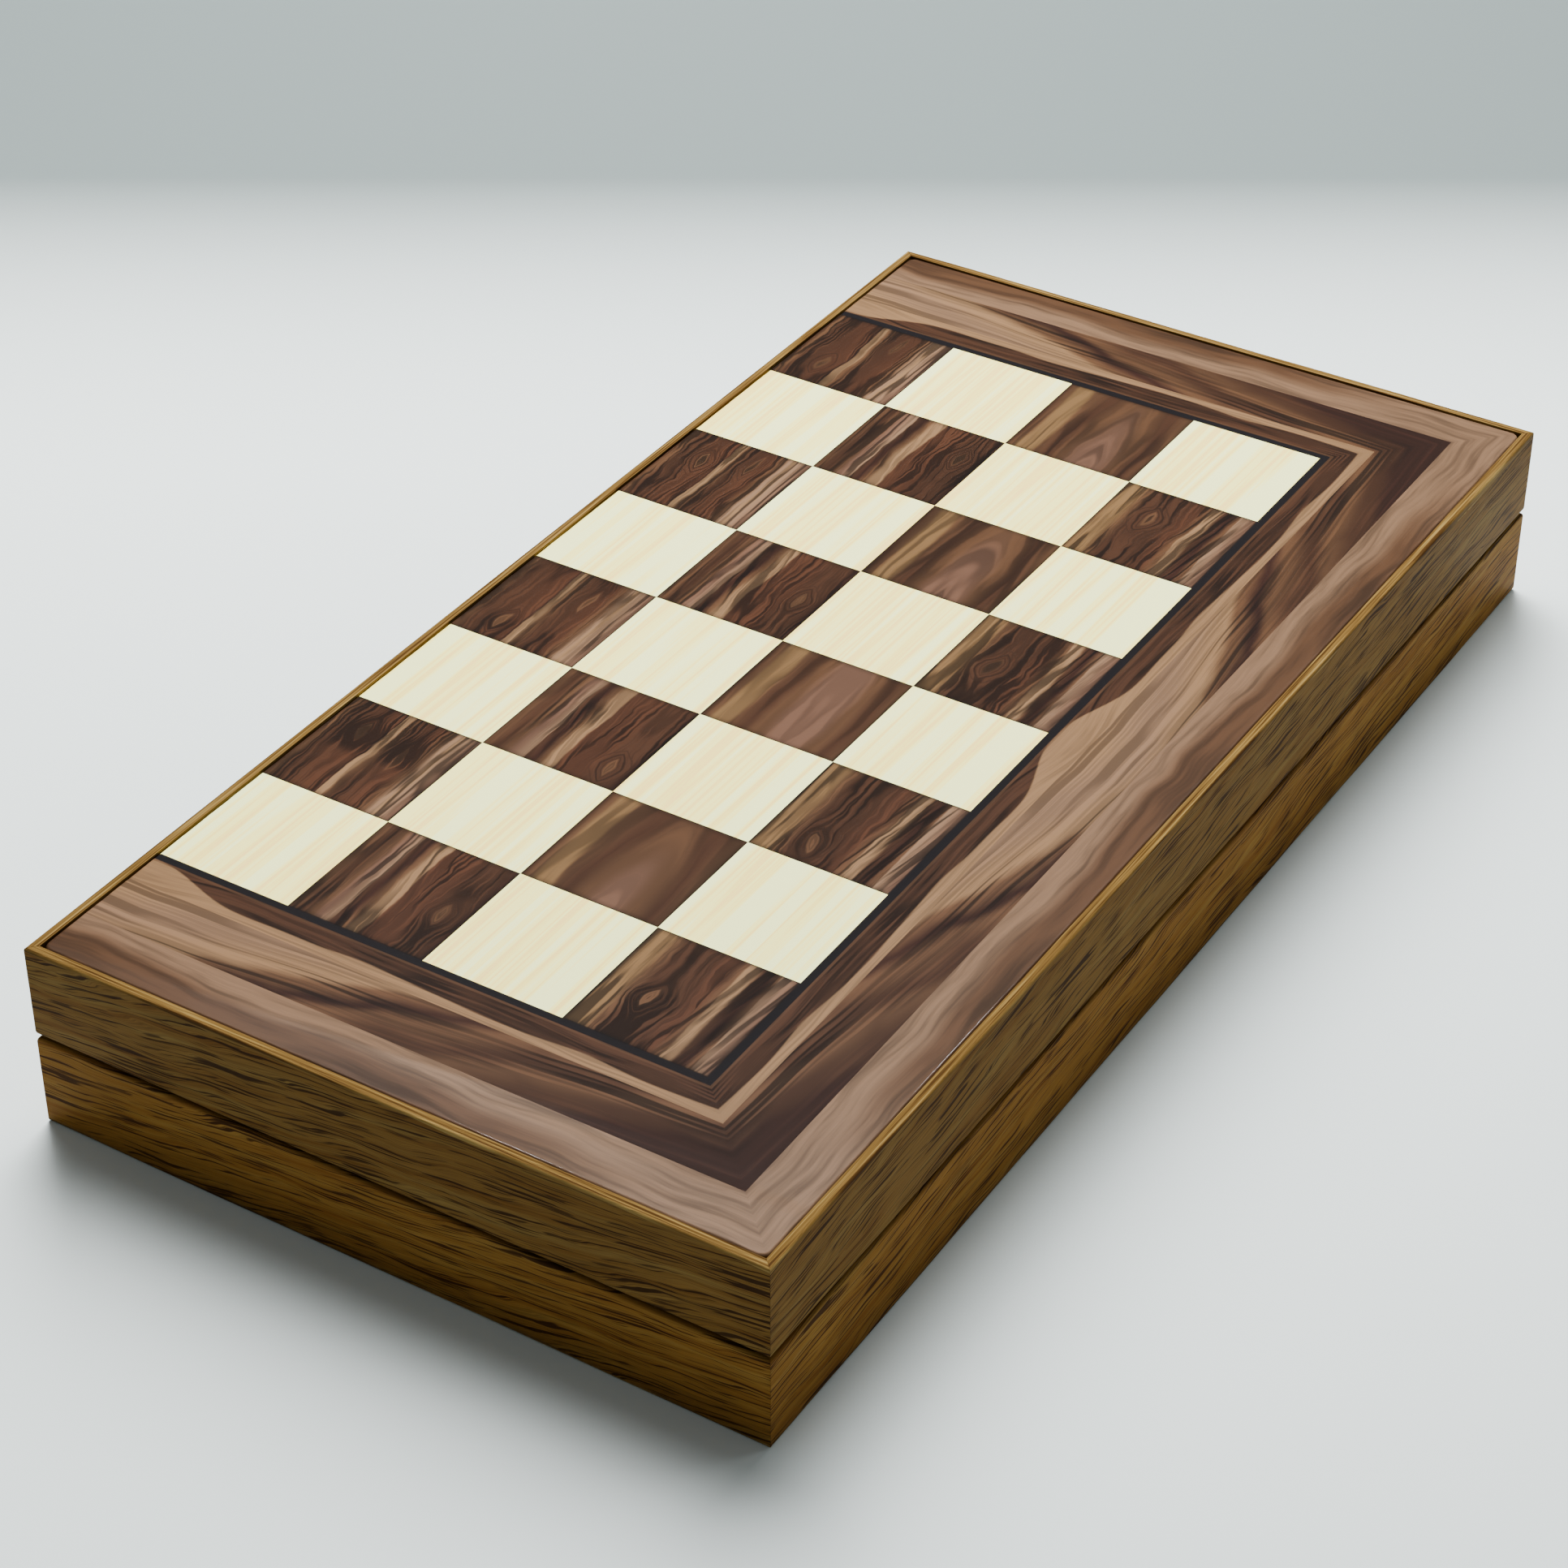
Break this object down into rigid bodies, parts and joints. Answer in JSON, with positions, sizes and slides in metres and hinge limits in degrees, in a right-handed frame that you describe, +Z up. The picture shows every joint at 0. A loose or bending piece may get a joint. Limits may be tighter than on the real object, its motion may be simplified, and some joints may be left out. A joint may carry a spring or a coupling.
{
  "type": "backgammon set",
  "caption": "Closed folding wooden backgammon case with a chess board printed outside, hinged along one long side, with checkers and dice inside.",
  "frame": {"origin": "on the surface the case lies on, under the middle of the closed set's bounding box, hinge knuckles included", "axes": "+X along the case's length, +Y from the opening side (front) towards the hinge side, +Z up"},
  "size_m": [0.48, 0.2454, 0.0625],
  "materials": {
    "oak": "clear satin lacquer over open-grained oak",
    "chess_print": "gloss-lacquered printed wood-grain foil",
    "field_print": "gloss-lacquered printed wood-grain foil",
    "hinge_brass": "polished brass",
    "magnet": "nickel plated",
    "light_checker": "lacquered light wood",
    "dark_checker": "lacquered dark-stained wood",
    "die": "ivory-coloured plastic"
  },
  "bodies": {
    "base": {"base_chess_panel": "chess_print", "base_field_panel": "field_print", "base_front_wall": "oak", "base_hinge_wall": "oak", "base_left_end_wall": "oak", "base_magnet": "magnet", "base_right_end_wall": "oak", "checker_dark_01": "dark_checker", "checker_dark_02": "dark_checker", "checker_dark_03": "dark_checker", "checker_dark_04": "dark_checker", "checker_dark_05": "dark_checker", "checker_dark_06": "dark_checker", "checker_dark_07": "dark_checker", "checker_dark_08": "dark_checker", "checker_dark_09": "dark_checker", "checker_dark_10": "dark_checker", "checker_dark_11": "dark_checker", "checker_dark_12": "dark_checker", "checker_dark_13": "dark_checker", "checker_dark_14": "dark_checker", "checker_dark_15": "dark_checker", "checker_light_01": "light_checker", "checker_light_02": "light_checker", "checker_light_03": "light_checker", "checker_light_04": "light_checker", "checker_light_05": "light_checker", "checker_light_06": "light_checker", "checker_light_07": "light_checker", "checker_light_08": "light_checker", "checker_light_09": "light_checker", "checker_light_10": "light_checker", "checker_light_11": "light_checker", "checker_light_12": "light_checker", "checker_light_13": "light_checker", "checker_light_14": "light_checker", "checker_light_15": "light_checker", "die_1": "die", "die_2": "die", "left_hinge_base_leaf": "hinge_brass", "left_hinge_base_screw_1": "hinge_brass", "left_hinge_base_screw_2": "hinge_brass", "left_hinge_pin": "hinge_brass", "right_hinge_base_leaf": "hinge_brass", "right_hinge_base_screw_1": "hinge_brass", "right_hinge_base_screw_2": "hinge_brass", "right_hinge_pin": "hinge_brass"},
    "lid": {"left_hinge_lid_leaf": "hinge_brass", "left_hinge_lid_screw_1": "hinge_brass", "left_hinge_lid_screw_2": "hinge_brass", "lid_chess_panel": "chess_print", "lid_field_panel": "field_print", "lid_front_wall": "oak", "lid_hinge_wall": "oak", "lid_left_end_wall": "oak", "lid_magnet": "magnet", "lid_right_end_wall": "oak", "right_hinge_lid_leaf": "hinge_brass", "right_hinge_lid_screw_1": "hinge_brass", "right_hinge_lid_screw_2": "hinge_brass"}
  },
  "joints": [
    {"name": "fold", "type": "hinge", "parent": "base", "child": "lid", "pos_m": [0, 0.12075, 0.03125], "axis": [-1, 0, 0], "range_deg": [0, 180]}
  ]
}
